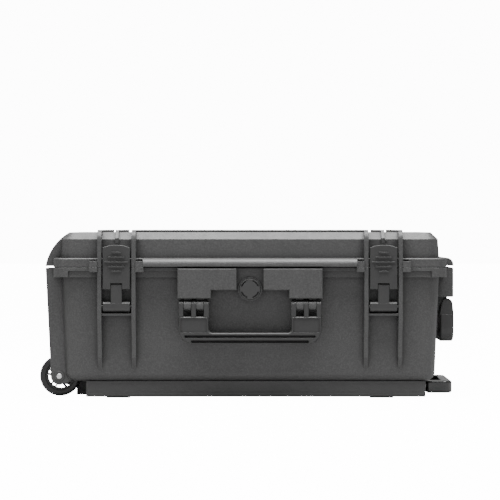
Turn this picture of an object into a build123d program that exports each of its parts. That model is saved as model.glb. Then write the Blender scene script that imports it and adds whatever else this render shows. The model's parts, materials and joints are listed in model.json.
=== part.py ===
from build123d import *
import os
from math import radians, tan

# Wheeled hard case for a drone kit: a drafted tub with a hinged lid, two toggle latches, two
# folding handles, two wheels and a pull-out trolley handle under the floor.
# Millimetres. Origin: centre of the footprint at the feet. +X from the wheels to the trolley grip,
# -Y to the latches, +Z up.

os.makedirs("parts", exist_ok=True)

# ---- driving dimensions ---------------------------------------------------------------------

seam_z = 179.35            # parting line between tub and lid
seam_gap = 0.15            # each shell stops this far from the parting line
floor_z = 23.2             # underside of the tub
lid_top_z = 227.0
wall = 3.5
draft = 2.5                # degrees, tub walls
lid_draft = 3.6            # degrees, lid walls
tub_half_length = 260.4    # at the parting line
tub_half_width = 150.0
corner_r = 20.0
bottom_r = 12.0
lid_bevel = 9.5

flange_half_length = 268.6
flange_half_width = 158.5
flange_corner_r = 16.0
tub_flange_z = 165.8       # underside of the tub's flange
tub_lip_z = 174.3          # underside of the full-depth lip above the recessed band
lid_flange_z = 191.7       # top of the lid's flange
band_recess = 2.5
open_gap = 1.25            # each side of the parting line, between parts outside the flange

latch_x = 181.4
rib_inner = 20.4           # from the latch's centre to each guard rib
rib_width = 5.7
rib_front_y = -166.0
rib_top_z = 230.3
rib_end_z = 39.7
centre_rib_width = 4.8
ear_width = 10.8
ear_front_y = -169.5
ear_low_z = 173.0
ear_high_z = 187.5
padlock_r = 3.4

pad_reach = 21.5           # handle pads, out from the tub's wall at the parting line
pad_half = 98.6
pad_low_z = 148.5
pocket_half = 53.0
channel_half = 18.4

handle_z = 127.6           # handle pivot height
handle_reach = 13.3        # handle pivot, out from the wall at the parting line
knuckle_r = 7.4
pin_r = 3.0
running = 0.05             # radial clearance of a pin in its bore
handle_half = 96.9
handle_opening = 56.0
handle_bottom_z = 75.2
handle_grip_z = 91.0
handle_shoulder_z = 113.0
handle_thickness = 19.5
handle_fingers = [(90.5, 96.3), (73.3, 79.5), (55.9, 62.4)]
tub_knuckles = [(80.0, 90.0), (62.9, 72.8)]

wheel_x = -261.5
wheel_y = 110.0
wheel_z = 29.5
wheel_r = 28.0
wheel_width = 22.0
tyre_inner_r = 19.6
rim_play = 0.05
rim_inner_r = 17.6
hub_r = 7.2
bush_r = 4.6
axle_r = 3.0
fork_inner = 14.0          # from the wheel's mid plane to each fork plate
fork_plate = 6.0
well_x = -229.0            # inner end of the wheel wells
well_top_z = 61.5

hinge_y = 166.5
hinge_knuckle_r = 7.0
hinge_pin_r = 2.5
hinge_half = 30.0
lid_knuckle_half = 17.6
knuckle_gap = 0.4

tray_bottom_z = 1.6
tray_left_x = -225.0
tray_right_x = 240.6
tray_half_width = 137.0
tray_tail_x = -240.5
tray_tail_half_width = 94.0
tray_wall = 2.5
foot_x = 180.4
foot_length = 33.5
foot_width = 27.0
foot_y = 121.0

tube_y = 60.0
tube_z = 12.2
tube_width = 22.0          # outer tube, across
tube_height = 14.0
tube_wall = 1.4
tube_play = 0.15           # per side, between stages
tube_left_x = -216.0
grip_x = 246.0
grip_end_x = 283.0
grip_half = 72.0
grip_bottom_z = 2.2
grip_top_z = 19.2

channel_depth = 9.0        # centre channel in the handle pads
handle_front = 9.0         # handle's front face, out from its pivot
handle_corner_r = 20.0
pad_clearance = 9.6        # from the handle's pivot up to the pad's legs
finger_root_front = 8.9    # the fingers' depth where they meet the arms, each side of the pivot
finger_root_back = 10.4
panel_mid_z = 100.8
panel_height = 20.0
upper_groove_z = 85.7
lower_groove_z = 78.9
groove_height = 3.5
groove_depth = 9.0
fork_end_r = 12.1
axle_boss = 1.2
valve_z = 149.9
valve_boss_r = 16.3
valve_boss_reach = 14.5    # out from the wall at the parting line
valve_cap_r = 14.2
valve_bore_r = 8.0
valve_sink = 2.0           # depth of the cap's seat in the boss
link_y = -160.2
link_z = 125.8
link_pin_r = 2.5
link_pin_half = 24.5
ledge_front_y = -164.5
screw_r = 2.0
screw_bite = 2.6           # into the tub's floor
band_spans = [(-247.5, -208.5), (-155.0, -pad_half), (pad_half, 155.0), (208.5, 247.5)]
padlock_y = -164.0
ear_slot_z = 188.9
ear_slot_depth = 3.5
padlock_xs = [
    side * latch_x + ear * (rib_inner + rib_width + 5.4) for side in (-1, 1) for ear in (-1, 1)
]
tray_screw_places = [(x, y) for x in (-200.0, -70.0, 70.0, 200.0) for y in (-95.0, 95.0)]

lid_half_length = 260.2    # at the parting line
lid_half_width = 150.0
brow_halves = {"front": 145.5, "side": 98.6}
field_half_width = 122.0
gasket_half_length = 262.6
gasket_half_width = 152.4
lid_foam_low_z = 184.0
lid_foam_high_z = 214.0
lid_foam_half_length = 250.0
lid_foam_half_width = 140.0
valve_cap_height = 5.4
vent_r = 11.8
vent_depth = 3.0
vent_bridge = 7.0
link_half = 18.3
link_front_y = -167.5
link_back_y = -153.6
link_foot_low_z = 119.2
link_foot_high_z = 132.4
stem_half = 7.4
stem_r = 3.6
lever_pin_y = -163.8
lever_pin_z = 153.9
lever_pin_r = 1.6
lever_half = 18.5
lever_front_y = -168.4
lever_plate = 3.2
lever_skirt_y = -161.8
lever_low_z = 149.7
lever_side_z = 206.3
lever_top_z = 209.9
lever_ridges = [(199.4, 13.6), (192.9, 23.0), (186.4, 33.0), (180.3, 23.0), (173.9, 13.6)]
ridge_height = 2.1
ridge_rise = 1.7
rim_half = 9.0
hub_half = 13.2
spoke_half = 7.0
spoke_pitch = 6.4
spoke_thickness = 1.9
spoke_start = 18.0
axle_head_r = 3.75
screw_head_r = 3.6
screw_sink = 3.4
foot_stem_r = 4.0
grip_hole_left_x = 252.5
grip_hole_right_x = 270.0
grip_hole_half = 50.0
grip_round = 3.0
button_z = 10.7
button_half = 16.0
button_height = 8.0
button_pocket = 9.0
button_travel = 3.0
button_proud = 2.6

# Foam pockets: centre x, centre y, length, width, floor height, corner radius.
pockets = [
    (95.0, 42.0, 250.0, 160.0, 62.0, 16.0),      # folded drone
    (-150.0, 60.0, 170.0, 120.0, 92.0, 16.0),    # controller
    (-150.0, -75.0, 150.0, 90.0, 100.0, 10.0),   # charger
    (10.0, -92.0, 48.0, 76.0, 84.0, 6.0),        # batteries
    (72.0, -92.0, 48.0, 76.0, 84.0, 6.0),
    (134.0, -92.0, 48.0, 76.0, 84.0, 6.0),
    (196.0, -92.0, 48.0, 76.0, 84.0, 6.0),
]

foam_top_z = 172.0
foam_split_z = 42.0
foam_play = 0.8
foam_floor_inset = 7.0     # clears the rounded bottom edge inside the tub

tub_drop = seam_z - seam_gap - floor_z
tub_bottom_half_length = tub_half_length - tub_drop * tan(radians(draft))
tub_bottom_half_width = tub_half_width - tub_drop * tan(radians(draft))
lid_low_z = seam_z + seam_gap
tub_high_z = seam_z - seam_gap


def tub_inset(z):
    """Distance from the wall at the parting line in to the tub's outer wall at height z."""
    return (seam_z - z) * tan(radians(draft))


# Planes whose x runs along the wall, y up and z outward, at the wall's line at the parting line.
front_plane = Plane(origin=(0, -tub_half_width, 0), x_dir=(1, 0, 0), z_dir=(0, -1, 0))
side_plane = Plane(origin=(tub_half_length, 0, 0), x_dir=(0, 1, 0), z_dir=(1, 0, 0))
wall_planes = {"front": front_plane, "side": side_plane}


def rod(plane, start, end, radius):
    """Solid cylinder along the plane's normal."""
    with BuildPart() as tool:
        with BuildSketch(plane.offset(start)):
            Circle(radius)
        extrude(amount=end - start)
    return tool.part


def slab(low, high):
    """Plain box between two corners."""
    with BuildPart() as tool:
        with Locations(*[(Vector(low) + Vector(high)) * 0.5]):
            Box(high[0] - low[0], high[1] - low[1], high[2] - low[2])
    return tool.part


# ---- handle pads and handles (used on the front and on the side) ------------------------------


def knuckle(pivot, start, end, root_height, bury):
    """Round knuckle on the pivot with a web that runs up and back into the wall."""
    with BuildPart() as tool:
        with BuildSketch(pivot.offset(start)):
            Circle(knuckle_r)
            with BuildLine():
                Polyline((0, 0), (0, root_height), (-bury, root_height), (-bury, 0), close=True)
            make_face()
        extrude(amount=end - start)
    return tool.part


def handle_pad(plane):
    """Raised pad above a handle, with two legs and the knuckles that carry the pins."""
    pivot = Plane(
        origin=plane.from_local_coords((0, handle_z, handle_reach)),
        x_dir=plane.z_dir,
        z_dir=-plane.x_dir,
    )
    bury = 14.0
    leg_low_z = handle_z + pad_clearance
    top_z = seam_z - open_gap
    with BuildPart() as pad:
        with BuildSketch(plane.offset(-bury)):
            with BuildLine():
                Polyline(
                    (-pad_half, top_z), (pad_half, top_z), (pad_half, leg_low_z),
                    (pocket_half, leg_low_z), (pocket_half, pad_low_z), (-pocket_half, pad_low_z),
                    (-pocket_half, leg_low_z), (-pad_half, leg_low_z), close=True,
                )
            make_face()
        extrude(amount=bury + pad_reach)
        chamfer(pad.faces().sort_by(Axis(plane.origin, plane.z_dir))[-1].edges(), length=1.2)
        with BuildSketch(plane.offset(pad_reach - channel_depth)):
            with Locations((0, (pad_low_z + top_z) / 2)):
                Rectangle(2 * channel_half, top_z - pad_low_z)
        extrude(amount=channel_depth, mode=Mode.SUBTRACT)
        for side in (-1, 1):
            low, high = sorted((side * (pocket_half - 1), side * (pad_half + 1)))
            add(rod(pivot, low, high, knuckle_r + 0.8), mode=Mode.SUBTRACT)
            for inner, outer in tub_knuckles:
                low, high = sorted((side * inner, side * outer))
                add(knuckle(pivot, low, high, knuckle_r + 3, bury + handle_reach))
        add(rod(pivot, -pad_half, pad_half, pin_r + running), mode=Mode.SUBTRACT)
    return pad.part


def handle_pins(plane):
    """The two pins of one handle, as a group."""
    pivot = Plane(
        origin=plane.from_local_coords((0, handle_z, handle_reach)),
        x_dir=plane.z_dir,
        z_dir=-plane.x_dir,
    )
    with BuildPart() as pins:
        for side in (-1, 1):
            low, high = sorted((side * (handle_opening + 0.4), side * (handle_half - 1.2)))
            add(rod(pivot, low, high, pin_r))
    return pins.part


def carry_handle(plane):
    """Folding handle: grip, two arm blocks and three fingers on each pin."""
    pivot = Plane(
        origin=plane.from_local_coords((0, handle_z, handle_reach)),
        x_dir=plane.z_dir,
        z_dir=-plane.x_dir,
    )
    back = handle_reach + handle_front - handle_thickness
    with BuildPart() as bail:
        with BuildSketch(plane.offset(back)) as outline:
            with BuildLine():
                Polyline(
                    (-handle_half, handle_shoulder_z), (-handle_opening, handle_shoulder_z),
                    (-handle_opening, handle_grip_z), (handle_opening, handle_grip_z),
                    (handle_opening, handle_shoulder_z), (handle_half, handle_shoulder_z),
                    (handle_half, handle_bottom_z), (-handle_half, handle_bottom_z), close=True,
                )
            make_face()
            low_corners = outline.vertices().group_by(Axis.Y)[0]
            fillet(low_corners, handle_corner_r)
            grip_corners = outline.vertices().filter_by_position(
                Axis.Y, handle_grip_z - 0.1, handle_grip_z + 0.1
            )
            fillet(grip_corners, 5)
        extrude(amount=handle_thickness)
        front_face = bail.faces().sort_by(Axis(plane.origin, plane.z_dir))[-1]
        back_face = bail.faces().sort_by(Axis(plane.origin, plane.z_dir))[0]
        fillet(front_face.edges(), 3.0)
        fillet(back_face.edges(), 3.0)
        for side in (-1, 1):
            for inner, outer in handle_fingers:
                low, high = sorted((side * inner, side * outer))
                with BuildSketch(pivot.offset(low)):
                    Circle(knuckle_r)
                    with BuildLine():
                        Polyline(
                            (knuckle_r, 0), (finger_root_front, handle_shoulder_z - handle_z),
                            (finger_root_front - 2, handle_shoulder_z - handle_z - 3),
                            (2 - finger_root_back, handle_shoulder_z - handle_z - 3),
                            (-finger_root_back, handle_shoulder_z - handle_z), (-knuckle_r, 0),
                            close=True,
                        )
                    make_face()
                extrude(amount=high - low)
            with BuildSketch(plane.offset(handle_reach + handle_front - 1.5)):
                with Locations((side * (handle_half + handle_opening) / 2, panel_mid_z)):
                    RectangleRounded(35.5, panel_height, 2)
            extrude(amount=3, mode=Mode.SUBTRACT)
        with BuildSketch(plane.offset(handle_reach + handle_front - groove_depth)):
            with Locations((0, upper_groove_z)):
                RectangleRounded(178, groove_height, 1.7)
            with Locations((0, lower_groove_z)):
                RectangleRounded(160, groove_height, 1.7)
        extrude(amount=groove_depth + 1, mode=Mode.SUBTRACT)
        add(rod(pivot, -handle_half + 1, handle_half - 1, pin_r + running), mode=Mode.SUBTRACT)
    return bail.part


# ---- tub -----------------------------------------------------------------------------------------

front_pad = handle_pad(front_plane)
side_pad = handle_pad(side_plane)

# Interior of the tub: everything inside the wall, less the housings of the two wheel wells.
with BuildPart() as tub_cavity:
    with BuildSketch(Plane.XY.offset(floor_z + wall)):
        RectangleRounded(
            2 * (tub_bottom_half_length - wall), 2 * (tub_bottom_half_width - wall), corner_r - wall
        )
    extrude(amount=seam_z - floor_z, taper=-draft)
    fillet(tub_cavity.faces().sort_by(Axis.Z)[0].edges(), bottom_r - wall)
    with Locations(*[
        (well_x + wall - 50, side * wheel_y, (floor_z + well_top_z + wall) / 2) for side in (-1, 1)
    ]):
        Box(100, 2 * (fork_inner + wall), well_top_z + wall - floor_z, mode=Mode.SUBTRACT)

# One wheel fork plate, from the parting line down round the axle, with its back face at y = 0.
with BuildPart() as fork:
    with BuildSketch(Plane.XZ):
        with BuildLine():
            Polyline(
                (-245.4, 30), (-245.4, seam_z - open_gap), (-280.5, seam_z - open_gap),
                (wheel_x - fork_end_r, 38), (wheel_x - fork_end_r, wheel_z),
            )
            ThreePointArc(
                (wheel_x - fork_end_r, wheel_z),
                (wheel_x - 0.70 * fork_end_r, wheel_z - 0.70 * fork_end_r),
                (wheel_x + 1.0, wheel_z - fork_end_r),
            )
            Polyline((wheel_x + 1.0, wheel_z - fork_end_r), (-245.4, floor_z - 0.4), (-245.4, 30))
        make_face()
    extrude(amount=fork_plate)
fork_ys = [
    side * wheel_y + offset_y
    for side in (-1, 1) for offset_y in (-fork_inner, fork_inner + fork_plate)
]

# One guard rib on the tub, running down the front wall to a tapered end, from x = 0.
with BuildPart() as tub_rib:
    with BuildSketch(Plane.YZ):
        with BuildLine():
            Polyline(
                (-140, tub_high_z), (rib_front_y, tub_high_z), (rib_front_y, 108), (-157.5, 84),
                (-154.5, 56), (-143.5, rib_end_z), (-135, rib_end_z), close=True,
            )
        make_face()
    extrude(amount=rib_width)
rib_xs = [
    side * latch_x + start for side in (-1, 1) for start in (-rib_inner - rib_width, rib_inner)
]

with BuildPart() as base_shell:
    with BuildSketch(Plane.XY.offset(floor_z)):
        RectangleRounded(2 * tub_bottom_half_length, 2 * tub_bottom_half_width, corner_r)
    extrude(amount=tub_drop, taper=-draft)
    fillet(base_shell.faces().sort_by(Axis.Z)[0].edges(), bottom_r)
    # Flange with a recessed band under its lip on the front and back.
    with BuildSketch(Plane.XY.offset(tub_flange_z)):
        RectangleRounded(2 * flange_half_length, 2 * flange_half_width, flange_corner_r)
    extrude(amount=tub_high_z - tub_flange_z)
    rim = base_shell.faces().sort_by(Axis.Z)[-1]
    chamfer(rim.edges(), length=0.7)
    for side in (-1, 1):
        for low_x, high_x in band_spans:
            with Locations((
                (low_x + high_x) / 2, side * flange_half_width, (tub_flange_z + tub_lip_z) / 2 - 1
            )):
                Box(high_x - low_x, 2 * band_recess, tub_lip_z - tub_flange_z + 2,
                    mode=Mode.SUBTRACT)
    # Fork plates beside the wheels, and the guard ribs beside the latches.
    with Locations(*[(0, y, 0) for y in fork_ys]):
        add(fork.part)
    with Locations(*[(x, 0, 0) for x in rib_xs]):
        add(tub_rib.part)
    add(front_pad)
    add(side_pad)
    # Ledges under the latches, back guard ribs and hinge knuckles.
    for side in (-1, 1):
        centre = side * latch_x
        add(slab((centre - rib_inner, ledge_front_y, 113.8), (centre + rib_inner, -140, 116.8)))
        # Back guard ribs.
        for start in (-hinge_half - 6, hinge_half):
            with BuildSketch(Plane.YZ.offset(centre + start)):
                with BuildLine():
                    Polyline(
                        (140, tub_high_z), (flange_half_width, tub_high_z), (flange_half_width, 120),
                        (152.5, 60), (143.5, rib_end_z), (135, rib_end_z), close=True,
                    )
                make_face()
            extrude(amount=6)
        # Hinge knuckles.
        knuckle_start = lid_knuckle_half + knuckle_gap
        for low, high in ((-hinge_half, -knuckle_start), (knuckle_start, hinge_half)):
            with BuildSketch(Plane.YZ.offset(centre + low)):
                with Locations((hinge_y, seam_z)):
                    Circle(hinge_knuckle_r)
                with BuildLine():
                    Polyline(
                        (150, seam_z - hinge_knuckle_r - 4), (150, tub_high_z), (hinge_y, tub_high_z),
                        (hinge_y, seam_z - hinge_knuckle_r), close=True,
                    )
                make_face()
            extrude(amount=high - low)
    # Bosses round the valve and the axle bolts.
    with BuildSketch(front_plane.offset(-8)):
        with Locations((0, valve_z)):
            Circle(valve_boss_r)
    extrude(amount=8 + valve_boss_reach)
    with Locations(*[
        (wheel_x, side * (wheel_y + fork_inner + fork_plate + axle_boss / 2), wheel_z)
        for side in (-1, 1)
    ]):
        Cylinder(6.8, axle_boss, rotation=(90, 0, 0))
    add(tub_cavity.part, mode=Mode.SUBTRACT)
    # Wheel wells.
    with Locations(*[
        (well_x - 50, side * wheel_y, (floor_z - 20 + well_top_z) / 2) for side in (-1, 1)
    ]):
        Box(100, 2 * fork_inner, well_top_z - floor_z + 20, mode=Mode.SUBTRACT)
    # Bores: axles, hinge pins, latch pins, valve, tray screws.
    axle_bore = axle_r + running
    with Locations((wheel_x, 0, wheel_z)):
        Cylinder(axle_bore, 300, rotation=(90, 0, 0), mode=Mode.SUBTRACT)
    with Locations(*[(side * latch_x, hinge_y, seam_z) for side in (-1, 1)]):
        Cylinder(hinge_pin_r + running, 2 * hinge_half + 1, rotation=(0, 90, 0), mode=Mode.SUBTRACT)
    with Locations(*[(side * latch_x, link_y, link_z) for side in (-1, 1)]):
        Cylinder(link_pin_r + running, 2 * link_pin_half, rotation=(0, 90, 0), mode=Mode.SUBTRACT)
    with Locations((0, -tub_half_width, valve_z)):
        Cylinder(valve_bore_r, 60, rotation=(90, 0, 0), mode=Mode.SUBTRACT)
    with Locations((0, -tub_half_width - valve_boss_reach, valve_z)):
        Cylinder(valve_cap_r + 0.15, 2 * valve_sink, rotation=(90, 0, 0), mode=Mode.SUBTRACT)
    with Locations(*[(x, y, floor_z) for x, y in tray_screw_places]):
        Cylinder(screw_r + 0.02, 2 * screw_bite, mode=Mode.SUBTRACT)
base_shell.part.label = "base_shell"
export_step(base_shell.part, "parts/base_shell.step")


def padlock_ears(low_z, high_z):
    """Four blocks on the flange, one on each outer side of a guard rib, each with a padlock hole."""
    with BuildPart() as ears:
        for side in (-1, 1):
            for ear in (-1, 1):
                low, high = sorted((
                    side * latch_x + ear * (rib_inner + rib_width),
                    side * latch_x + ear * (rib_inner + rib_width + ear_width),
                ))
                add(slab((low, ear_front_y, low_z), (high, -flange_half_width, high_z)))
        with Locations(*[(x, padlock_y, seam_z) for x in padlock_xs]):
            Cylinder(padlock_r, 40, mode=Mode.SUBTRACT)
    return ears.part


# The ears are moulded in one with the tub and the lid, and meet their flanges face to face.
tub_padlock_ears = padlock_ears(ear_low_z, tub_high_z)
tub_padlock_ears.label = "tub_padlock_ears"
export_step(tub_padlock_ears, "parts/tub_padlock_ears.step")

# ---- lid -----------------------------------------------------------------------------------------

with BuildPart() as lid_cavity:
    with BuildSketch(Plane.XY.offset(lid_low_z)):
        RectangleRounded(
            2 * (lid_half_length - wall), 2 * (lid_half_width - wall), corner_r - wall
        )
    extrude(amount=lid_top_z - wall - lid_low_z, taper=lid_draft)
    chamfer(lid_cavity.faces().sort_by(Axis.Z)[-1].edges(), length=lid_bevel - wall / 2)

# Quarter-round plate above each wheel fork, with its back face at y = 0.
with BuildPart() as lid_plate:
    with BuildSketch(Plane.XZ):
        with BuildLine():
            Polyline(
                (-248.2, lid_top_z - 0.3), (-230, lid_top_z - 4), (-230, seam_z + open_gap),
                (-280.7, seam_z + open_gap),
            )
            ThreePointArc(
                (-280.7, seam_z + open_gap), (-268.9, 208.2), (-248.2, lid_top_z - 0.3)
            )
        make_face()
    extrude(amount=fork_plate)

# One guard rib on the lid, from the front flange over the top to the back flange, from x = 0.
with BuildPart() as lid_rib:
    with BuildSketch(Plane.YZ) as lid_rib_outline:
        with BuildLine():
            Polyline(
                (rib_front_y, lid_low_z), (-130, lid_low_z), (-130, 210), (130, 210),
                (130, lid_low_z), (flange_half_width - 1, lid_low_z),
                (flange_half_width - 1, 206), (144, rib_top_z), (rib_front_y, rib_top_z),
                close=True,
            )
        make_face()
        fillet(lid_rib_outline.vertices().group_by(Axis.Y)[-1].sort_by(Axis.X)[0], 15)
    extrude(amount=rib_width)

with BuildPart() as lid_flange:
    with BuildSketch(Plane.XY.offset(lid_low_z)):
        RectangleRounded(2 * flange_half_length, 2 * flange_half_width, flange_corner_r)
    extrude(amount=lid_flange_z - lid_low_z)
    fillet(lid_flange.faces().sort_by(Axis.Z)[-1].edges(), 2.0)
    chamfer(lid_flange.faces().sort_by(Axis.Z)[0].edges(), length=0.7)

# Quarter-round brow that overhangs the handle pads, for the front and for the side.
brow_outline = {}
for name, plane in wall_planes.items():
    section = Plane(origin=plane.origin, x_dir=plane.z_dir, z_dir=-plane.x_dir)
    half = brow_halves[name]
    with BuildPart() as brow:
        with BuildSketch(section.offset(-half)) as profile:
            with BuildLine():
                Polyline(
                    (-2, seam_z + open_gap), (pad_reach, seam_z + open_gap),
                    (pad_reach, seam_z + open_gap + 1.5),
                )
                ThreePointArc(
                    (pad_reach, seam_z + open_gap + 1.5),
                    (pad_reach - 3.0, lid_flange_z - 2.6),
                    (pad_reach - 10.5, lid_flange_z),
                )
                Polyline((pad_reach - 10.5, lid_flange_z), (-2, lid_flange_z), (-2, seam_z + open_gap))
            make_face()
        extrude(amount=2 * half)
    brow_outline[name] = brow.part

with BuildPart() as lid_shell:
    with BuildSketch(Plane.XY.offset(lid_low_z)):
        RectangleRounded(2 * lid_half_length, 2 * lid_half_width, corner_r)
    extrude(amount=lid_top_z - lid_low_z, taper=lid_draft)
    chamfer(lid_shell.faces().sort_by(Axis.Z)[-1].edges(), length=lid_bevel)
    add(lid_flange.part)
    add(brow_outline["front"])
    add(brow_outline["side"])
    # Raised field between the latches on top.
    with BuildSketch(Plane.XY.offset(lid_top_z - 1)):
        Rectangle(2 * (latch_x - rib_inner - rib_width) + 2, 2 * field_half_width)
    extrude(amount=rib_top_z - lid_top_z + 1)
    chamfer(lid_shell.faces().sort_by(Axis.Z)[-1].edges(), length=1.0)
    # Quarter-round plates above the wheel forks, and the guard ribs over the lid.
    with Locations(*[(0, y, 0) for y in fork_ys]):
        add(lid_plate.part)
    with Locations(*[(x, 0, 0) for x in rib_xs]):
        add(lid_rib.part)
    for side in (-1, 1):
        centre = side * latch_x
        # Centre rib between the guard ribs.
        with BuildSketch(Plane.YZ.offset(centre - centre_rib_width / 2)):
            with BuildLine():
                Polyline(
                    (-151.5, 211), (-151.5, 219), (-141.5, rib_top_z), (136, rib_top_z),
                    (146, 219), (146, 211), close=True,
                )
            make_face()
        extrude(amount=centre_rib_width)
        # Catch ledge behind the lever.
        add(slab((centre - 16, -161.0, 196), (centre + 16, -140, 200)))
        # Hinge knuckle.
        with BuildSketch(Plane.YZ.offset(centre - lid_knuckle_half)):
            with Locations((hinge_y, seam_z)):
                Circle(hinge_knuckle_r)
            with BuildLine():
                Polyline(
                    (150, lid_low_z), (150, seam_z + hinge_knuckle_r + 4),
                    (hinge_y, seam_z + hinge_knuckle_r), (hinge_y, lid_low_z), close=True,
                )
            make_face()
        extrude(amount=2 * lid_knuckle_half)
    add(lid_cavity.part, mode=Mode.SUBTRACT)
    # Gasket groove in the underside of the flange.
    with BuildSketch(Plane.XY.offset(lid_low_z)):
        RectangleRounded(2 * gasket_half_length + 4.2, 2 * gasket_half_width + 4.2, 14)
        RectangleRounded(
            2 * gasket_half_length - 4.2, 2 * gasket_half_width - 4.2, 10, mode=Mode.SUBTRACT
        )
    extrude(amount=4, mode=Mode.SUBTRACT)
    with Locations(*[(side * latch_x, hinge_y, seam_z) for side in (-1, 1)]):
        Cylinder(
            hinge_pin_r + running, 2 * lid_knuckle_half + 1, rotation=(0, 90, 0),
            mode=Mode.SUBTRACT,
        )
    # Drain slots in the flange above the ears.
    with Locations(*[(x, -flange_half_width, ear_slot_z) for x in padlock_xs]):
        Box(5.6, 2 * ear_slot_depth, 1.8, mode=Mode.SUBTRACT)
lid_shell.part.label = "lid_shell"
export_step(lid_shell.part, "parts/lid_shell.step")

with BuildPart() as lid_ears:
    add(padlock_ears(lid_low_z, ear_high_z))
    add(lid_shell.part, mode=Mode.SUBTRACT)
lid_ears.part.label = "lid_padlock_ears"
export_step(lid_ears.part, "parts/lid_padlock_ears.step")

with BuildPart() as lid_gasket:
    with BuildSketch(Plane.XY.offset(lid_low_z + 0.3)):
        RectangleRounded(2 * gasket_half_length + 3.6, 2 * gasket_half_width + 3.6, 13.7)
        RectangleRounded(
            2 * gasket_half_length - 3.6, 2 * gasket_half_width - 3.6, 10.3, mode=Mode.SUBTRACT
        )
    extrude(amount=3.4)
lid_gasket.part.label = "lid_gasket"
export_step(lid_gasket.part, "parts/lid_gasket.step")

with BuildPart() as lid_foam:
    with BuildSketch(Plane.XY.offset(lid_foam_low_z)):
        RectangleRounded(2 * lid_foam_half_length, 2 * lid_foam_half_width, 14)
    extrude(amount=lid_foam_high_z - lid_foam_low_z)
lid_foam.part.label = "lid_foam"
export_step(lid_foam.part, "parts/lid_foam.step")

# ---- foam in the tub -----------------------------------------------------------------------------


def foam_block(low_z, high_z, play):
    """Foam slab that follows the drafted walls and steps round the wheel well housings."""
    inset = wall + play + tub_inset(low_z)
    with BuildPart() as block:
        with BuildSketch(Plane.XY.offset(low_z)):
            RectangleRounded(
                2 * (tub_half_length - inset), 2 * (tub_half_width - inset), corner_r - wall
            )
        extrude(amount=high_z - low_z, taper=-draft)
        reach = wall + play
        with Locations(*[
            (well_x + reach - 50, side * wheel_y, (floor_z + well_top_z + reach) / 2)
            for side in (-1, 1)
        ]):
            Box(
                100, 2 * (fork_inner + reach), well_top_z + reach - floor_z, mode=Mode.SUBTRACT
            )
    return block.part


with BuildPart() as foam_floor:
    add(foam_block(floor_z + wall + 0.4, foam_split_z - 0.2, foam_floor_inset))
foam_floor.part.label = "foam_floor"
export_step(foam_floor.part, "parts/foam_floor.step")

with BuildPart() as base_foam:
    add(foam_block(foam_split_z + 0.2, foam_top_z, foam_play))
    for centre_x, centre_y, length, width, low_z, corner in pockets:
        with BuildSketch(Plane.XY.offset(low_z)):
            with Locations((centre_x, centre_y)):
                RectangleRounded(length, width, corner)
        extrude(amount=foam_top_z - low_z + 1, mode=Mode.SUBTRACT)
    # Clearance round the valve's nut.
    with Locations((0, -tub_half_width, valve_z)):
        Box(36, 36, 50, mode=Mode.SUBTRACT)
base_foam.part.label = "base_foam"
export_step(base_foam.part, "parts/base_foam.step")

# ---- pressure valve ------------------------------------------------------------------------------

valve_seat_y = -tub_half_width - valve_boss_reach + valve_sink
valve_plane = Plane(origin=(0, valve_seat_y, valve_z), x_dir=(1, 0, 0), z_dir=(0, -1, 0))

with BuildPart() as valve_body:
    with BuildSketch(valve_plane.offset(2.6)):
        Circle(valve_bore_r - running)
    extrude(amount=-26.5)
    with BuildSketch(valve_plane.offset(2.6)):
        Circle(5.2)
    extrude(amount=-30, mode=Mode.SUBTRACT)
valve_body.part.label = "valve_body"
export_step(valve_body.part, "parts/valve_body.step")

with BuildPart() as valve_cap:
    with BuildSketch(valve_plane.offset(0.05)):
        Circle(valve_cap_r)
    extrude(amount=valve_cap_height)
    fillet(valve_cap.edges().sort_by(Axis.Y)[0], 1.2)
    with BuildSketch(valve_plane.offset(0.05)):
        Circle(valve_bore_r + 0.05)
    extrude(amount=2.6, mode=Mode.SUBTRACT)
    with BuildSketch(valve_plane.offset(0.05)):
        Circle(12.3)
        Circle(9.7, mode=Mode.SUBTRACT)
    extrude(amount=2.0, mode=Mode.SUBTRACT)
    # Four curved vents in the face.
    with BuildSketch(valve_plane.offset(valve_cap_height + 0.05 - vent_depth)):
        Circle(vent_r + 1.0)
        Circle(vent_r - 1.0, mode=Mode.SUBTRACT)
        with PolarLocations(vent_r, 4):
            Rectangle(4.0, vent_bridge, mode=Mode.SUBTRACT)
    extrude(amount=vent_depth + 0.5, mode=Mode.SUBTRACT)
valve_cap.part.label = "valve_cap"
export_step(valve_cap.part, "parts/valve_cap.step")

with BuildPart() as valve_oring:
    with BuildSketch(Plane.YZ):
        with Locations((valve_seat_y - 0.05 - 0.95, valve_z + 11.0)):
            Circle(0.9)
    revolve(axis=Axis((0, 0, valve_z), (0, 1, 0)))
valve_oring.part.label = "valve_oring"
export_step(valve_oring.part, "parts/valve_oring.step")

with BuildPart() as valve_membrane:
    with BuildSketch(valve_plane.offset(-10)):
        Circle(5.2 - running)
    extrude(amount=-0.8)
valve_membrane.part.label = "valve_membrane"
export_step(valve_membrane.part, "parts/valve_membrane.step")

with BuildPart() as valve_nut:
    with BuildSketch(valve_plane.offset(-18.4)):
        RegularPolygon(12.0, 6, major_radius=False)
        Circle(valve_bore_r + 0.02, mode=Mode.SUBTRACT)
    extrude(amount=-5)
valve_nut.part.label = "valve_nut"
export_step(valve_nut.part, "parts/valve_nut.step")

# ---- handles -------------------------------------------------------------------------------------

for name, plane in wall_planes.items():
    bail = carry_handle(plane)
    bail.label = f"{name}_handle"
    export_step(bail, f"parts/{name}_handle.step")
    pins = handle_pins(plane)
    pins.label = f"{name}_handle_pins"
    export_step(pins, f"parts/{name}_handle_pins.step")

# ---- latches -------------------------------------------------------------------------------------

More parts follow.
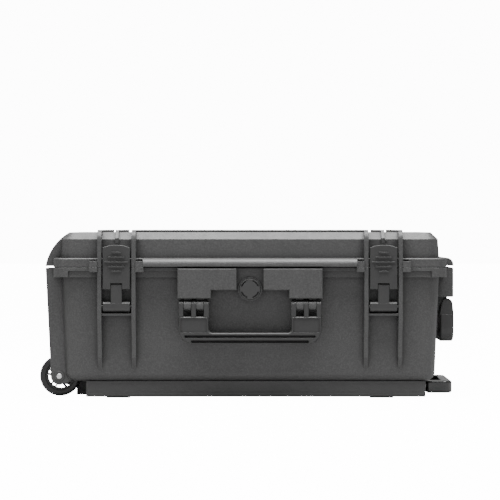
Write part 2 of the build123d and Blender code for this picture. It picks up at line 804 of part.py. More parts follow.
for name, side in (("left", -1), ("right", 1)):
    centre = side * latch_x
    with BuildPart() as link:
        # Foot round the lower pin.
        with BuildSketch(Plane.YZ.offset(centre - link_half)) as foot_outline:
            with BuildLine():
                Polyline(
                    (link_front_y, link_foot_low_z), (link_back_y, link_foot_low_z),
                    (link_back_y, link_foot_high_z), (link_front_y, link_foot_high_z), close=True,
                )
            make_face()
            fillet(foot_outline.vertices().group_by(Axis.Y)[0], 5.0)
            chamfer(foot_outline.vertices().group_by(Axis.Y)[-1], 2.2)
        extrude(amount=2 * link_half)
        # Stem up to the lever's pin.
        with BuildSketch(Plane.YZ.offset(centre - stem_half)):
            with Locations((lever_pin_y, lever_pin_z)):
                Circle(stem_r)
            with Locations((lever_pin_y, (lever_pin_z + link_z) / 2)):
                Rectangle(2 * stem_r, lever_pin_z - link_z)
        extrude(amount=2 * stem_half)
        with Locations((centre, link_y, link_z)):
            Cylinder(
                link_pin_r + running, 2 * link_pin_half, rotation=(0, 90, 0), mode=Mode.SUBTRACT
            )
        with Locations((centre, lever_pin_y, lever_pin_z)):
            Cylinder(
                lever_pin_r + running, 2 * link_pin_half, rotation=(0, 90, 0), mode=Mode.SUBTRACT
            )
    link.part.label = f"{name}_latch_link"
    export_step(link.part, f"parts/{name}_latch_link.step")

    with BuildPart() as lever:
        # Arched front plate.
        with BuildSketch(Plane.XZ.offset(-lever_front_y - lever_plate)):
            with BuildLine():
                Polyline(
                    (centre + lever_half, lever_side_z), (centre + lever_half, lever_low_z),
                    (centre - lever_half, lever_low_z), (centre - lever_half, lever_side_z),
                )
                ThreePointArc(
                    (centre - lever_half, lever_side_z), (centre, lever_top_z),
                    (centre + lever_half, lever_side_z),
                )
            make_face()
        extrude(amount=lever_plate)
        fillet(lever.faces().sort_by(Axis.Y)[0].edges(), 0.8)
        # Side skirts and the barrels round the lever's pin.
        for edge in (-1, 1):
            low, high = sorted((centre + edge * lever_half, centre + edge * (lever_half - 2.6)))
            add(slab(
                (low, lever_front_y + 1, lever_pin_z), (high, lever_skirt_y, lever_side_z - 3)
            ))
            low, high = sorted((centre + edge * lever_half, centre + edge * (stem_half + 0.5)))
            with BuildSketch(Plane.YZ.offset(low)):
                with Locations((lever_pin_y, lever_pin_z)):
                    Circle(stem_r)
                with Locations((lever_pin_y - stem_r / 2 - 0.2, lever_pin_z + 2)):
                    Rectangle(stem_r, 8.0)
            extrude(amount=high - low)
        # Slot for the link's stem.
        add(
            slab(
                (centre - stem_half - 0.5, lever_front_y - 1, lever_low_z - 1),
                (centre + stem_half + 0.5, lever_skirt_y + 5, lever_pin_z + stem_r + 0.5),
            ),
            mode=Mode.SUBTRACT,
        )
        # Five raised grip ridges.
        for ridge_z, ridge_length in lever_ridges:
            with BuildSketch(Plane.XZ.offset(-lever_front_y)):
                with Locations((centre, ridge_z)):
                    SlotOverall(ridge_length, ridge_height)
            extrude(amount=ridge_rise)
        with Locations((centre, lever_pin_y, lever_pin_z)):
            Cylinder(
                lever_pin_r + running, 2 * link_pin_half, rotation=(0, 90, 0), mode=Mode.SUBTRACT
            )
    lever.part.label = f"{name}_latch_lever"
    export_step(lever.part, f"parts/{name}_latch_lever.step")

    with BuildPart() as lever_pin:
        with Locations((centre, lever_pin_y, lever_pin_z)):
            Cylinder(lever_pin_r, 2 * lever_half - 0.6, rotation=(0, 90, 0))
    lever_pin.part.label = f"{name}_lever_pin"
    export_step(lever_pin.part, f"parts/{name}_lever_pin.step")

    with BuildPart() as link_pin:
        with Locations((centre, link_y, link_z)):
            Cylinder(link_pin_r, 2 * link_pin_half - 0.6, rotation=(0, 90, 0))
    link_pin.part.label = f"{name}_link_pin"
    export_step(link_pin.part, f"parts/{name}_link_pin.step")

    with BuildPart() as hinge_pin:
        with Locations((centre, hinge_y, seam_z)):
            Cylinder(hinge_pin_r, 2 * hinge_half - 0.4, rotation=(0, 90, 0))
    hinge_pin.part.label = f"{name}_hinge_pin"
    export_step(hinge_pin.part, f"parts/{name}_hinge_pin.step")

# ---- wheels --------------------------------------------------------------------------------------

for name, side in (("front", -1), ("rear", 1)):
    wheel_plane = Plane(
        origin=(wheel_x, side * wheel_y, wheel_z), x_dir=(1, 0, 0), z_dir=(0, -1, 0)
    )
    with BuildPart() as tyre:
        with BuildSketch(Plane.XY.offset(wheel_z)) as tyre_section:
            with Locations((wheel_x + (wheel_r + tyre_inner_r) / 2, side * wheel_y)):
                Rectangle(wheel_r - tyre_inner_r, wheel_width)
            fillet(tyre_section.vertices().group_by(Axis.X)[-1], 5.0)
            fillet(tyre_section.vertices().group_by(Axis.X)[0], 1.0)
        revolve(axis=Axis((wheel_x, 0, wheel_z), (0, 1, 0)))
    tyre.part.label = f"{name}_wheel_tyre"
    export_step(tyre.part, f"parts/{name}_wheel_tyre.step")

    with BuildPart() as rim:
        with BuildSketch(wheel_plane.offset(-rim_half)):
            Circle(tyre_inner_r - rim_play)
            Circle(rim_inner_r, mode=Mode.SUBTRACT)
        extrude(amount=2 * rim_half)
        with BuildSketch(wheel_plane.offset(-hub_half)):
            Circle(hub_r)
        extrude(amount=2 * hub_half)
        with BuildSketch(wheel_plane.offset(-spoke_half)):
            with PolarLocations(0, 5, start_angle=spoke_start):
                with Locations((0, spoke_pitch / 2), (0, -spoke_pitch / 2)):
                    with Locations(((hub_r + rim_inner_r) / 2, 0)):
                        Rectangle(rim_inner_r - hub_r + 2.4, spoke_thickness)
        extrude(amount=2 * spoke_half)
        with BuildSketch(wheel_plane.offset(-hub_half)):
            Circle(bush_r)
        extrude(amount=2 * hub_half, mode=Mode.SUBTRACT)
    rim.part.label = f"{name}_wheel_rim"
    export_step(rim.part, f"parts/{name}_wheel_rim.step")

    with BuildPart() as bush:
        with BuildSketch(wheel_plane.offset(-hub_half - 0.3)):
            Circle(bush_r)
            Circle(axle_r + running, mode=Mode.SUBTRACT)
        extrude(amount=2 * hub_half + 0.6)
    bush.part.label = f"{name}_wheel_bush"
    export_step(bush.part, f"parts/{name}_wheel_bush.step")

axle_head_y = wheel_y + fork_inner + fork_plate + axle_boss
with BuildPart() as axle_bolts:
    for side in (-1, 1):
        bolt_plane = Plane(
            origin=(wheel_x, side * axle_head_y, wheel_z), x_dir=(1, 0, 0), z_dir=(0, side, 0)
        )
        with BuildSketch(bolt_plane):
            Circle(axle_head_r)
        extrude(amount=3.0)
        fillet(axle_bolts.edges().sort_by(Axis.Y)[-1 if side > 0 else 0], 1.6)
        with BuildSketch(bolt_plane):
            Circle(axle_r)
        extrude(amount=-(2 * (fork_inner + fork_plate) + axle_boss + 7.0))
axle_bolts.part.label = "axle_bolts"
export_step(axle_bolts.part, "parts/axle_bolts.step")

with BuildPart() as axle_nuts:
    for side in (-1, 1):
        nut_plane = Plane(
            origin=(wheel_x, side * (wheel_y - fork_inner - fork_plate), wheel_z),
            x_dir=(1, 0, 0), z_dir=(0, -side, 0),
        )
        with BuildSketch(nut_plane.offset(0.02)):
            RegularPolygon(5.0, 6, major_radius=False)
            Circle(axle_r + 0.02, mode=Mode.SUBTRACT)
        extrude(amount=5.0)
axle_nuts.part.label = "axle_nuts"
export_step(axle_nuts.part, "parts/axle_nuts.step")

# ---- trolley -------------------------------------------------------------------------------------

tray_high_z = floor_z - 0.05
with BuildPart() as trolley_tray:
    add(slab((tray_left_x, -tray_half_width, tray_bottom_z), (tray_right_x, tray_half_width, tray_high_z)))
    fillet(trolley_tray.edges().filter_by(Axis.Z), 3.0)
    add(slab(
        (tray_tail_x, -tray_tail_half_width, tray_bottom_z),
        (tray_left_x + 5, tray_tail_half_width, tray_high_z),
    ))
    chamfer(trolley_tray.faces().sort_by(Axis.Z)[0].edges(), length=0.8)
    add(
        slab(
            (tray_left_x + tray_wall, -tray_half_width + tray_wall, tray_bottom_z + tray_wall),
            (tray_right_x - tray_wall, tray_half_width - tray_wall, tray_high_z + 1),
        ),
        mode=Mode.SUBTRACT,
    )
    # Clamps for the outer tubes, and screw bosses.
    for clamp_x in (-196.0, 0.0, 196.0):
        for side in (-1, 1):
            add(slab(
                (clamp_x - 6, side * tube_y - 15, tray_bottom_z + 1),
                (clamp_x + 6, side * tube_y + 15, tray_high_z),
            ))
    with Locations(*[(x, y, (tray_bottom_z + tray_high_z) / 2) for x, y in tray_screw_places]):
        Cylinder(5.5, tray_high_z - tray_bottom_z)
    with Locations(*[(0, side * tube_y, tube_z) for side in (-1, 1)]):
        Box(440, tube_width + 0.1, tube_height + 0.1, mode=Mode.SUBTRACT)
    with Locations(*[(tray_right_x, side * tube_y, tube_z) for side in (-1, 1)]):
        Box(20, tube_width + 1.0, tube_height + 1.0, mode=Mode.SUBTRACT)
    with Locations(*[(x, y, floor_z) for x, y in tray_screw_places]):
        Cylinder(screw_r + 0.15, 60, mode=Mode.SUBTRACT)
    with Locations(*[(x, y, tray_bottom_z) for x, y in tray_screw_places]):
        Cylinder(screw_head_r + 0.3, 2 * screw_sink, mode=Mode.SUBTRACT)
    with Locations(*[(x * foot_x, y * foot_y, tray_bottom_z) for x in (-1, 1) for y in (-1, 1)]):
        Cylinder(foot_stem_r + 0.05, 20, mode=Mode.SUBTRACT)
trolley_tray.part.label = "trolley_tray"
export_step(trolley_tray.part, "parts/trolley_tray.step")

with BuildPart() as tray_screws:
    for x, y in tray_screw_places:
        screw_plane = Plane.XY.offset(tray_bottom_z + 0.4)
        with BuildSketch(screw_plane):
            with Locations((x, y)):
                Circle(screw_head_r)
        extrude(amount=screw_sink - 0.4)
        with BuildSketch(screw_plane):
            with Locations((x, y)):
                Circle(screw_r)
        extrude(amount=floor_z + screw_bite - 0.3 - screw_plane.origin.Z)
        with BuildSketch(screw_plane):
            with Locations((x, y)):
                RegularPolygon(1.4, 6)
        extrude(amount=1.4, mode=Mode.SUBTRACT)
tray_screws.part.label = "tray_screws"
export_step(tray_screws.part, "parts/tray_screws.step")

with BuildPart() as tray_feet:
    for x in (-foot_x, foot_x):
        for y in (-foot_y, foot_y):
            with BuildSketch(Plane.XY.offset(tray_bottom_z)):
                with Locations((x, y)):
                    RectangleRounded(foot_length, foot_width, 2)
            extrude(amount=-tray_bottom_z, taper=40)
            with BuildSketch(Plane.XY.offset(tray_bottom_z)):
                with Locations((x, y)):
                    Circle(foot_stem_r)
            extrude(amount=4)
tray_feet.part.label = "tray_feet"
export_step(tray_feet.part, "parts/tray_feet.step")


def tube(left_x, right_x, side, width, height, thickness):
    """Rectangular tube along X at one side of the trolley."""
    with BuildPart() as stage:
        with BuildSketch(Plane.YZ.offset(left_x)):
            with Locations((side * tube_y, tube_z)):
                RectangleRounded(width, height, 2.0)
                RectangleRounded(
                    width - 2 * thickness, height - 2 * thickness, 0.9, mode=Mode.SUBTRACT
                )
        extrude(amount=right_x - left_x)
    return stage.part


middle_width = tube_width - 2 * tube_wall - 2 * tube_play
middle_height = tube_height - 2 * tube_wall - 2 * tube_play
inner_width = middle_width - 2 * tube_wall - 2 * tube_play
inner_height = middle_height - 2 * tube_wall - 2 * tube_play
for name, side in (("front", -1), ("rear", 1)):
    outer = tube(tube_left_x, tray_right_x - 3.0, side, tube_width, tube_height, tube_wall)
    outer.label = f"{name}_outer_tube"
    export_step(outer, f"parts/{name}_outer_tube.step")
    middle = tube(tube_left_x + 8, grip_x - 2.0, side, middle_width, middle_height, tube_wall)
    middle.label = f"{name}_middle_tube"
    export_step(middle, f"parts/{name}_middle_tube.step")
    inner = tube(tube_left_x + 16, grip_x + 14, side, inner_width, inner_height, 1.2)
    inner.label = f"{name}_inner_tube"
    export_step(inner, f"parts/{name}_inner_tube.step")

    with BuildPart() as collar:
        with BuildSketch(Plane.YZ.offset(tray_right_x - 2.9)):
            with Locations((side * tube_y, tube_z)):
                RectangleRounded(tube_width + 0.9, tube_height + 0.9, 2.0)
        extrude(amount=2.9)
        with BuildSketch(Plane.YZ.offset(tray_right_x)):
            with Locations((side * tube_y, tube_z)):
                RectangleRounded(tube_width + 4, tube_height + 4, 3.0)
        extrude(amount=2.8)
        with BuildSketch(Plane.YZ.offset(tray_right_x - 3)):
            with Locations((side * tube_y, tube_z)):
                RectangleRounded(middle_width + 0.2, middle_height + 0.2, 2.1)
        extrude(amount=8, mode=Mode.SUBTRACT)
    collar.part.label = f"{name}_tube_collar"
    export_step(collar.part, f"parts/{name}_tube_collar.step")

with BuildPart() as trolley_grip:
    with BuildSketch(Plane.XY.offset(grip_bottom_z)) as grip_outline:
        with Locations(((grip_x + grip_end_x) / 2, 0)):
            Rectangle(grip_end_x - grip_x, 2 * grip_half)
        fillet(grip_outline.vertices().group_by(Axis.X)[-1], 13)
        fillet(grip_outline.vertices().group_by(Axis.X)[0], 4)
        with Locations(((grip_hole_left_x + grip_hole_right_x) / 2, 0)):
            RectangleRounded(
                grip_hole_right_x - grip_hole_left_x, 2 * grip_hole_half, 5, mode=Mode.SUBTRACT
            )
    extrude(amount=grip_top_z - grip_bottom_z)
    fillet(trolley_grip.faces().sort_by(Axis.Z)[-1].edges(), grip_round)
    fillet(trolley_grip.faces().sort_by(Axis.Z)[0].edges(), grip_round)
    with Locations(*[(grip_x, side * tube_y, tube_z) for side in (-1, 1)]):
        Box(28.1, inner_width + 0.1, inner_height + 0.1, mode=Mode.SUBTRACT)
    with Locations((grip_end_x, 0, button_z)):
        Box(
            2 * button_pocket, 2 * button_half + 0.6, button_height + 0.6, mode=Mode.SUBTRACT
        )
trolley_grip.part.label = "trolley_grip"
export_step(trolley_grip.part, "parts/trolley_grip.step")

with BuildPart() as release_button:
    with BuildSketch(Plane.YZ.offset(grip_end_x - button_pocket + button_travel + 0.6)):
        with Locations((0, button_z)):
            RectangleRounded(2 * button_half, button_height, 2.0)
    extrude(amount=button_pocket - button_travel - 0.6 + button_proud)
    fillet(release_button.faces().sort_by(Axis.X)[-1].edges(), 0.8)
release_button.part.label = "release_button"
export_step(release_button.part, "parts/release_button.step")
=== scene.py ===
import json
from math import cos, pi, radians

import bmesh
import bpy
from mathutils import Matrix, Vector, noise


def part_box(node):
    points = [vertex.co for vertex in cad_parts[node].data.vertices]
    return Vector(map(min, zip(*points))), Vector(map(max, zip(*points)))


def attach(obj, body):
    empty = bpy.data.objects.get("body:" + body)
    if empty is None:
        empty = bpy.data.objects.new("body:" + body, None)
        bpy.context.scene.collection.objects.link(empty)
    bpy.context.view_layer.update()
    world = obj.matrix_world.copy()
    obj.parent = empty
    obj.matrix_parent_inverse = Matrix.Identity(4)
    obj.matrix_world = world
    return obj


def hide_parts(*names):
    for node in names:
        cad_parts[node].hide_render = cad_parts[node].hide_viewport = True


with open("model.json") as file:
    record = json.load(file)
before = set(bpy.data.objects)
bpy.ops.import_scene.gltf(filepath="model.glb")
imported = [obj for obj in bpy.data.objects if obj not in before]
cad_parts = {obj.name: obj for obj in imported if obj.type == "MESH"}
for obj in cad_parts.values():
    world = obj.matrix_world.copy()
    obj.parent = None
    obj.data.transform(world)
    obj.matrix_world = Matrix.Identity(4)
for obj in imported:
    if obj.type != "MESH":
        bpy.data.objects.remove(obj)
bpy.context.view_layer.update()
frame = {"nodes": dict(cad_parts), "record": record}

MM = 0.001


# ---- shader helpers ------------------------------------------------------------------------------


class Shader:
    """A principled material with short calls for the nodes that feed it."""

    def __init__(self, name, color, roughness, metallic=0.0):
        self.material = bpy.data.materials.new(name)
        self.material.use_nodes = True
        self.tree = self.material.node_tree
        self.bsdf = self.tree.nodes["Principled BSDF"]
        self.bsdf.inputs["Base Color"].default_value = (*color, 1)
        self.bsdf.inputs["Roughness"].default_value = roughness
        self.bsdf.inputs["Metallic"].default_value = metallic
        self.place = self.node("ShaderNodeTexCoord").outputs["Object"]

    def node(self, kind, **values):
        made = self.tree.nodes.new(kind)
        for key, value in values.items():
            setattr(made, key, value)
        return made

    def join(self, source, target):
        self.tree.links.new(source, target)

    def noise(self, scale, detail=3.0, rough=0.5, stretch=None):
        texture = self.node("ShaderNodeTexNoise")
        texture.inputs["Scale"].default_value = scale
        texture.inputs["Detail"].default_value = detail
        texture.inputs["Roughness"].default_value = rough
        self.join(self.stretched(stretch), texture.inputs["Vector"])
        return texture.outputs["Fac"]

    def cells(self, scale, feature="SMOOTH_F1", stretch=None):
        texture = self.node("ShaderNodeTexVoronoi", feature=feature)
        texture.inputs["Scale"].default_value = scale
        self.join(self.stretched(stretch), texture.inputs["Vector"])
        return texture.outputs["Distance"]

    def stretched(self, stretch):
        if stretch is None:
            return self.place
        mapping = self.node("ShaderNodeMapping")
        mapping.inputs["Scale"].default_value = stretch
        self.join(self.place, mapping.inputs["Vector"])
        return mapping.outputs["Vector"]

    def spread(self, source, low, high, out_low=0.0, out_high=1.0):
        """Map low..high of a value to out_low..out_high, clamped."""
        mapped = self.node("ShaderNodeMapRange")
        for key, value in (
            ("From Min", low), ("From Max", high), ("To Min", out_low), ("To Max", out_high)
        ):
            mapped.inputs[key].default_value = value
        self.join(source, mapped.inputs["Value"])
        return mapped.outputs["Result"]

    def math(self, operation, first, second):
        made = self.node("ShaderNodeMath", operation=operation)
        for socket, value in zip(made.inputs, (first, second)):
            if isinstance(value, (int, float)):
                socket.default_value = value
            else:
                self.join(value, socket)
        return made.outputs["Value"]

    def mix(self, amount, first, second):
        """Blend two colours, or a colour over an earlier blend."""
        made = self.node("ShaderNodeMix", data_type="RGBA")
        self.join(amount, made.inputs["Factor"])
        for socket, value in ((made.inputs[6], first), (made.inputs[7], second)):
            if isinstance(value, tuple):
                socket.default_value = (*value, 1)
            else:
                self.join(value, socket)
        return made.outputs[2]

    def soft_edges(self, radius):
        """Rounded-edge normal, and how far it leans from the face's own normal."""
        bevel = self.node("ShaderNodeBevel", samples=6)
        bevel.inputs["Radius"].default_value = radius
        geometry = self.node("ShaderNodeNewGeometry")
        lean = self.node("ShaderNodeVectorMath", operation="DOT_PRODUCT")
        self.join(bevel.outputs["Normal"], lean.inputs[0])
        self.join(geometry.outputs["Normal"], lean.inputs[1])
        return bevel.outputs["Normal"], self.spread(lean.outputs["Value"], 0.995, 0.80)

    def bump(self, height, strength, distance, normal=None):
        made = self.node("ShaderNodeBump")
        made.inputs["Strength"].default_value = strength
        made.inputs["Distance"].default_value = distance
        self.join(height, made.inputs["Height"])
        if normal is not None:
            self.join(normal, made.inputs["Normal"])
        return made.outputs["Normal"]

    def crevice_shade(self, reach):
        """Painted shade mask from ambient occlusion: 1 on open surface, 0 deep in a gap or a groove."""
        occlusion = self.node("ShaderNodeAmbientOcclusion", samples=6, only_local=True)
        occlusion.inputs["Distance"].default_value = reach
        return self.spread(occlusion.outputs["AO"], 0.25, 0.85)

    def color(self, source):
        self.join(source, self.bsdf.inputs["Base Color"])

    def rough(self, source):
        self.join(source, self.bsdf.inputs["Roughness"])

    def normal(self, source):
        self.join(source, self.bsdf.inputs["Normal"])


def grey(level):
    return (level, level, level)


def scaled(color, factor):
    return tuple(channel * factor for channel in color)


def moulded(name, level, roughness, grain=620.0, grain_depth=0.00022, edge=0.0008, edge_highlight_strength=0.4,
            specular=0.5):
    """Injection-moulded plastic: pebble grain, faint flow mottling, a patchy painted highlight along the
    edges and painted shade in crevices.
    """
    paint = Shader(name, grey(level), roughness)
    paint.bsdf.inputs["Specular IOR Level"].default_value = specular
    normal, lean = paint.soft_edges(edge)
    mottle = paint.spread(paint.noise(16, 4, 0.6), 0.3, 0.7)
    speckle = paint.spread(paint.noise(grain * 0.9, 2, 0.7), 0.42, 0.7)
    base = paint.mix(mottle, grey(level * 0.93), grey(level * 1.06))
    flecked = paint.mix(paint.math("MULTIPLY", speckle, 0.5), base, grey(level * 2.0))
    # painted highlight: edges paled towards 2.6 times the level, broken into patches by noise
    edge_highlight_mask = paint.math("MULTIPLY", lean, paint.spread(paint.noise(90, 3, 0.7), 0.35, 0.75, 0.1, edge_highlight_strength))
    edge_highlighted = paint.mix(edge_highlight_mask, flecked, grey(level * 2.6))
    # painted shade: deep in crevices and gaps the colour darkens towards 0.12 of the level
    paint.color(paint.mix(paint.crevice_shade(0.012), grey(level * 0.12), edge_highlighted))
    pebbles = paint.math("MULTIPLY", paint.cells(grain), -1.0)
    fine = paint.noise(grain * 2.4, 2, 0.6)
    height = paint.math("ADD", pebbles, paint.math("MULTIPLY", fine, 0.5))
    paint.normal(paint.bump(height, 0.55, grain_depth, normal))
    paint.rough(paint.spread(paint.noise(60, 4, 0.6), 0.3, 0.7, roughness - 0.05, roughness + 0.06))
    return paint.material


def satin(name, level, roughness, edge=0.0006, streak=(1, 1, 1), specular=0.5, edge_highlight_strength=0.3):
    """Smooth moulded plastic: faint flow lines, fine scuffs, a patchy painted highlight along the edges
    and painted shade in crevices.
    """
    paint = Shader(name, grey(level), roughness)
    paint.bsdf.inputs["Specular IOR Level"].default_value = specular
    normal, lean = paint.soft_edges(edge)
    flow = paint.spread(paint.noise(26, 4, 0.65, streak), 0.3, 0.7)
    base = paint.mix(flow, grey(level * 0.92), grey(level * 1.08))
    # painted highlight: edges paled towards 2.8 times the level, broken into patches by noise
    edge_highlight_mask = paint.math("MULTIPLY", lean, paint.spread(paint.noise(120, 3, 0.7), 0.35, 0.7, 0.1, edge_highlight_strength))
    edge_highlighted = paint.mix(edge_highlight_mask, base, grey(level * 2.8))
    # painted shade: deep in crevices and gaps the colour darkens towards 0.1 of the level
    paint.color(paint.mix(paint.crevice_shade(0.012), grey(level * 0.1), edge_highlighted))
    scuffs = paint.noise(340, 5, 0.75, (1, 1, 0.25))
    paint.normal(paint.bump(scuffs, 0.18, 0.00006, normal))
    paint.rough(paint.spread(paint.noise(75, 5, 0.7), 0.3, 0.7, roughness - 0.06, roughness + 0.08))
    return paint.material


def gloss(name, level, roughness):
    """Polished black plastic with faint smears and a painted highlight along its edges."""
    paint = Shader(name, grey(level), roughness)
    paint.bsdf.inputs["Specular IOR Level"].default_value = 0.6
    paint.bsdf.inputs["Coat Weight"].default_value = 0.3
    paint.bsdf.inputs["Coat Roughness"].default_value = 0.08
    normal, lean = paint.soft_edges(0.0006)
    # painted highlight: edges paled towards 4 times the level
    paint.color(paint.mix(paint.math("MULTIPLY", lean, 0.25), grey(level), grey(level * 4)))
    paint.normal(paint.bump(paint.noise(45, 3, 0.6), 0.05, 0.0004, normal))
    paint.rough(paint.spread(paint.noise(30, 5, 0.7), 0.3, 0.75, roughness, roughness + 0.14))
    return paint.material


def rubber(name, level, roughness):
    """Dense rubber: fine matt grain with dusty patches and a painted highlight along its edges."""
    paint = Shader(name, grey(level), roughness)
    normal, lean = paint.soft_edges(0.0005)
    dust = paint.spread(paint.noise(70, 5, 0.7), 0.45, 0.8, 0.0, 0.35)
    dusty = paint.mix(dust, grey(level), grey(level * 2.0))
    # painted highlight: edges paled towards 3 times the level; the dusty patches are the rubber's own
    # colour
    paint.color(paint.mix(paint.math("MULTIPLY", lean, 0.3), dusty, grey(level * 3.0)))
    paint.normal(paint.bump(paint.noise(1500, 3, 0.6), 0.25, 0.0001, normal))
    paint.rough(paint.spread(paint.noise(110, 4, 0.6), 0.3, 0.7, roughness - 0.07, roughness + 0.08))
    return paint.material


def metal(name, color, roughness, brushed):
    """Metal with drawn or turned marks along the brushed direction."""
    paint = Shader(name, color, roughness, metallic=1.0)
    normal, lean = paint.soft_edges(0.0003)
    tarnish = paint.spread(paint.noise(90, 5, 0.7), 0.35, 0.75)
    paint.color(paint.mix(tarnish, color, scaled(color, 0.8)))
    marks = paint.noise(500, 4, 0.7, brushed)
    paint.normal(paint.bump(marks, 0.2, 0.00005, normal))
    paint.rough(paint.spread(marks, 0.3, 0.7, roughness - 0.06, roughness + 0.1))
    return paint.material


def foam(name, level):
    """Cut open-cell foam: pores of two sizes, soft sheen."""
    paint = Shader(name, grey(level), 0.95)
    paint.bsdf.inputs["Sheen Weight"].default_value = 0.25
    pores = paint.spread(paint.cells(650, "F1"), 0.05, 0.5)
    paint.color(paint.mix(pores, grey(level * 1.7), grey(level * 0.7)))
    height = paint.math("ADD", paint.cells(650, "F1"), paint.math("MULTIPLY", paint.noise(1800, 3), 0.6))
    paint.normal(paint.bump(height, 0.6, 0.0005))
    paint.rough(paint.spread(paint.noise(300, 3), 0.3, 0.7, 0.88, 1.0))
    return paint.material


def membrane(name, level):
    """Pale porous film: felt-like fibres."""
    paint = Shader(name, grey(level), 0.8)
    fibres = paint.noise(2200, 4, 0.7, (1, 1, 0.3))
    paint.color(paint.mix(paint.spread(fibres, 0.3, 0.7), grey(level * 0.85), grey(level)))
    paint.normal(paint.bump(fibres, 0.3, 0.0001))
    paint.rough(paint.spread(fibres, 0.3, 0.7, 0.7, 0.9))
    return paint.material


MATERIALS = {
    "shell_plastic": moulded("shell_plastic", 0.05, 0.42),
    "latch_plastic": satin("latch_plastic", 0.034, 0.4),
    "handle_plastic": satin("handle_plastic", 0.032, 0.4),
    "tray_plastic": moulded("tray_plastic", 0.046, 0.5, grain=1200.0, grain_depth=0.00008),
    "collar_plastic": satin("collar_plastic", 0.04, 0.42),
    "grip_plastic": gloss("grip_plastic", 0.016, 0.14),
    "button_plastic": gloss("button_plastic", 0.03, 0.25),
    "foam": foam("foam", 0.04),
    "seal_rubber": rubber("seal_rubber", 0.02, 0.6),
    "valve_plastic": satin("valve_plastic", 0.04, 0.42),
    "membrane": membrane("membrane", 0.7),
    "tyre_rubber": rubber("tyre_rubber", 0.013, 0.4),
    "rim_plastic": satin("rim_plastic", 0.03, 0.34),
    "bush_brass": metal("bush_brass", (0.6, 0.45, 0.18), 0.3, (1, 0.05, 1)),
    "bolt_steel": metal("bolt_steel", grey(0.95), 0.42, (1, 0.1, 1)),
    "pin_steel": metal("pin_steel", grey(0.09), 0.4, (0.05, 1, 1)),
    "tube_aluminium": metal("tube_aluminium", grey(0.55), 0.35, (0.03, 1, 1)),
    "foot_plastic": rubber("foot_plastic", 0.015, 0.6),
}
for part in frame["record"]["subparts"]:
    node = frame["nodes"][part["node"]]
    if not node.material_slots:
        node.data.materials.append(None)
    for surface in node.material_slots:
        surface.material = MATERIALS[part["material_slot"]]


# ---- foam pieces ---------------------------------------------------------------------------------


def copied(node, name):
    """New object with a copy of a CAD node's mesh."""
    source = frame["nodes"][node]
    piece = bpy.data.objects.new(name, source.data.copy())
    bpy.context.scene.collection.objects.link(piece)
    return piece


def applied(piece):
    """Replace a piece's mesh by what its modifiers make of it."""
    graph = bpy.context.evaluated_depsgraph_get()
    mesh = bpy.data.meshes.new_from_object(piece.evaluated_get(graph))
    piece.modifiers.clear()
    piece.data = mesh


def cut_foam(node, name, body, voxel, pull):
    """Foam block with softened corners and slightly uneven faces, in place of its plain solid."""
    piece = copied(node, name)
    remesh = piece.modifiers.new("remesh", "REMESH")
    remesh.mode = "VOXEL"
    remesh.voxel_size = voxel
    relax = piece.modifiers.new("relax", "SMOOTH")
    relax.factor = 0.5
    relax.iterations = 3
    applied(piece)
    outward = [vertex.normal.copy() for vertex in piece.data.vertices]
    for vertex, normal in zip(piece.data.vertices, outward):
        vertex.co -= normal * pull * (0.5 + 0.5 * noise.noise(vertex.co * 22))
    for face in piece.data.polygons:
        face.use_smooth = True
    piece.data.materials.clear()
    piece.data.materials.append(MATERIALS["foam"])
    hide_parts(node)
    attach(piece, body)
    return piece


def egg_crate(node, name, body, step=4 * MM, pitch=32 * MM, depth=15 * MM):
    """Convoluted foam: flat back, rows of soft peaks on the face that points down."""
    low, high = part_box(node)
    columns = int((high.x - low.x) / step)
    rows = int((high.y - low.y) / step)
    mesh = bmesh.new()

    def layer(height):
        return [
            [
                mesh.verts.new((
                    low.x + (high.x - low.x) * i / columns,
                    low.y + (high.y - low.y) * j / rows,
                    height(low.x + (high.x - low.x) * i / columns, low.y + (high.y - low.y) * j / rows),
                ))
                for j in range(rows + 1)
            ]
            for i in range(columns + 1)
        ]

    def waves(x, y):
        wave = 0.5 + 0.25 * (cos(2 * pi * x / pitch) + cos(2 * pi * y / pitch))
        return low.z + depth * (1 - wave)

    face_layer = layer(waves)
    back_layer = layer(lambda x, y: high.z)
    for i in range(columns):
        for j in range(rows):
            corners = ((i, j), (i, j + 1), (i + 1, j + 1), (i + 1, j))
            mesh.faces.new([face_layer[a][b] for a, b in corners])
            mesh.faces.new([back_layer[a][b] for a, b in reversed(corners)])
    rim = (
        [(i, 0) for i in range(columns)] + [(columns, j) for j in range(rows)]
        + [(i, rows) for i in range(columns, 0, -1)] + [(0, j) for j in range(rows, 0, -1)]
    )
    for here, there in zip(rim, rim[1:] + rim[:1]):
        mesh.faces.new([
            face_layer[here[0]][here[1]], face_layer[there[0]][there[1]],
            back_layer[there[0]][there[1]], back_layer[here[0]][here[1]],
        ])
    bmesh.ops.recalc_face_normals(mesh, faces=mesh.faces)
    data = bpy.data.meshes.new(name)
    mesh.to_mesh(data)
    mesh.free()
    piece = bpy.data.objects.new(name, data)
    bpy.context.scene.collection.objects.link(piece)
    for face in data.polygons:
        face.use_smooth = True
    data.materials.append(MATERIALS["foam"])
    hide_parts(node)
    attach(piece, body)
    return piece


cut_foam("base_foam", "foam_insert", "base", 4 * MM, 0.4 * MM)
cut_foam("foam_floor", "foam_floor_pad", "base", 4 * MM, 0.3 * MM)
egg_crate("lid_foam", "foam_lid_pad", "lid")


# ---- floor, light and camera ---------------------------------------------------------------------


def area_light(name, place, target, size, power):
    data = bpy.data.lights.new(name, "AREA")
    data.shape = "RECTANGLE"
    data.size, data.size_y = size
    data.energy = power
    lamp = bpy.data.objects.new(name, data)
    bpy.context.scene.collection.objects.link(lamp)
    lamp.location = place
    lamp.rotation_euler = (Vector(target) - Vector(place)).to_track_quat("-Z", "Y").to_euler()
    return lamp


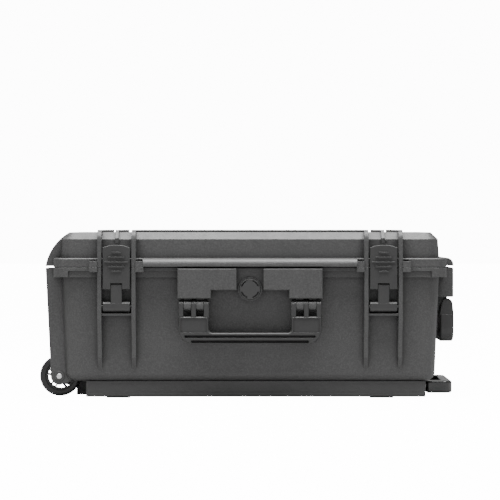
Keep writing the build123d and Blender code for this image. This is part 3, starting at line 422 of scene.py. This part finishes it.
floor_mesh = bpy.data.meshes.new("floor")
floor_half = 12.0
floor_glow = 14.0               # seen by the camera alone, so that the floor matches the backdrop
floor_mesh.from_pydata(
    [(-floor_half, -floor_half, 0), (floor_half, -floor_half, 0),
     (floor_half, floor_half, 0), (-floor_half, floor_half, 0)],
    [], [(0, 1, 2, 3)],
)
floor = bpy.data.objects.new("floor", floor_mesh)
bpy.context.scene.collection.objects.link(floor)
floor_paint = Shader("floor", grey(0.42), 0.9)
floor_paint.bsdf.inputs["Emission Color"].default_value = (1, 1, 1, 1)
seen = floor_paint.node("ShaderNodeLightPath").outputs["Is Camera Ray"]
floor_paint.join(
    floor_paint.math("MULTIPLY", seen, floor_glow), floor_paint.bsdf.inputs["Emission Strength"]
)
floor_mesh.materials.append(floor_paint.material)

ambient_strength = 0.40         # what the object is lit with from all round
backdrop_strength = 16.0        # what the camera sees behind it
overhead_power = 130
fill_power = 7
world = bpy.data.worlds.new("studio")
bpy.context.scene.world = world
world.use_nodes = True
world_nodes = world.node_tree.nodes
ambient = world_nodes["Background"]
ambient.inputs["Color"].default_value = (1, 1, 1, 1)
ambient.inputs["Strength"].default_value = ambient_strength
backdrop = world_nodes.new("ShaderNodeBackground")
backdrop.inputs["Strength"].default_value = backdrop_strength
path = world_nodes.new("ShaderNodeLightPath")
blend = world_nodes.new("ShaderNodeMixShader")
for source, target in (
    (path.outputs["Is Camera Ray"], blend.inputs["Fac"]),
    (ambient.outputs[0], blend.inputs[1]),
    (backdrop.outputs[0], blend.inputs[2]),
    (blend.outputs[0], world_nodes["World Output"].inputs["Surface"]),
):
    world.node_tree.links.new(source, target)

area_light("overhead", (0, -0.35, 1.9), (0, 0, 0.2), (2.4, 1.4), overhead_power)
area_light("front_fill", (-1.2, -2.6, 1.5), (0, 0, 0.1), (1.6, 1.2), fill_power)

image_px = 500
scale_m = 1.36 * MM             # width of one image point at the front plane
camera_distance = 3.2           # from the front plane of the flanges
camera_height = 0.2328
horizon_px = 22                 # the horizon's height above the image's middle
front_plane_y = -0.1585
camera_data = bpy.data.cameras.new("camera")
camera_data.sensor_width = 36
camera_data.lens = 36 * camera_distance / (image_px * scale_m)
camera = bpy.data.objects.new("camera", camera_data)
bpy.context.scene.collection.objects.link(camera)
camera.location = (0, front_plane_y - camera_distance, camera_height)
camera.rotation_euler = (radians(90) - horizon_px * scale_m / camera_distance, 0, 0)
bpy.context.scene.camera = camera
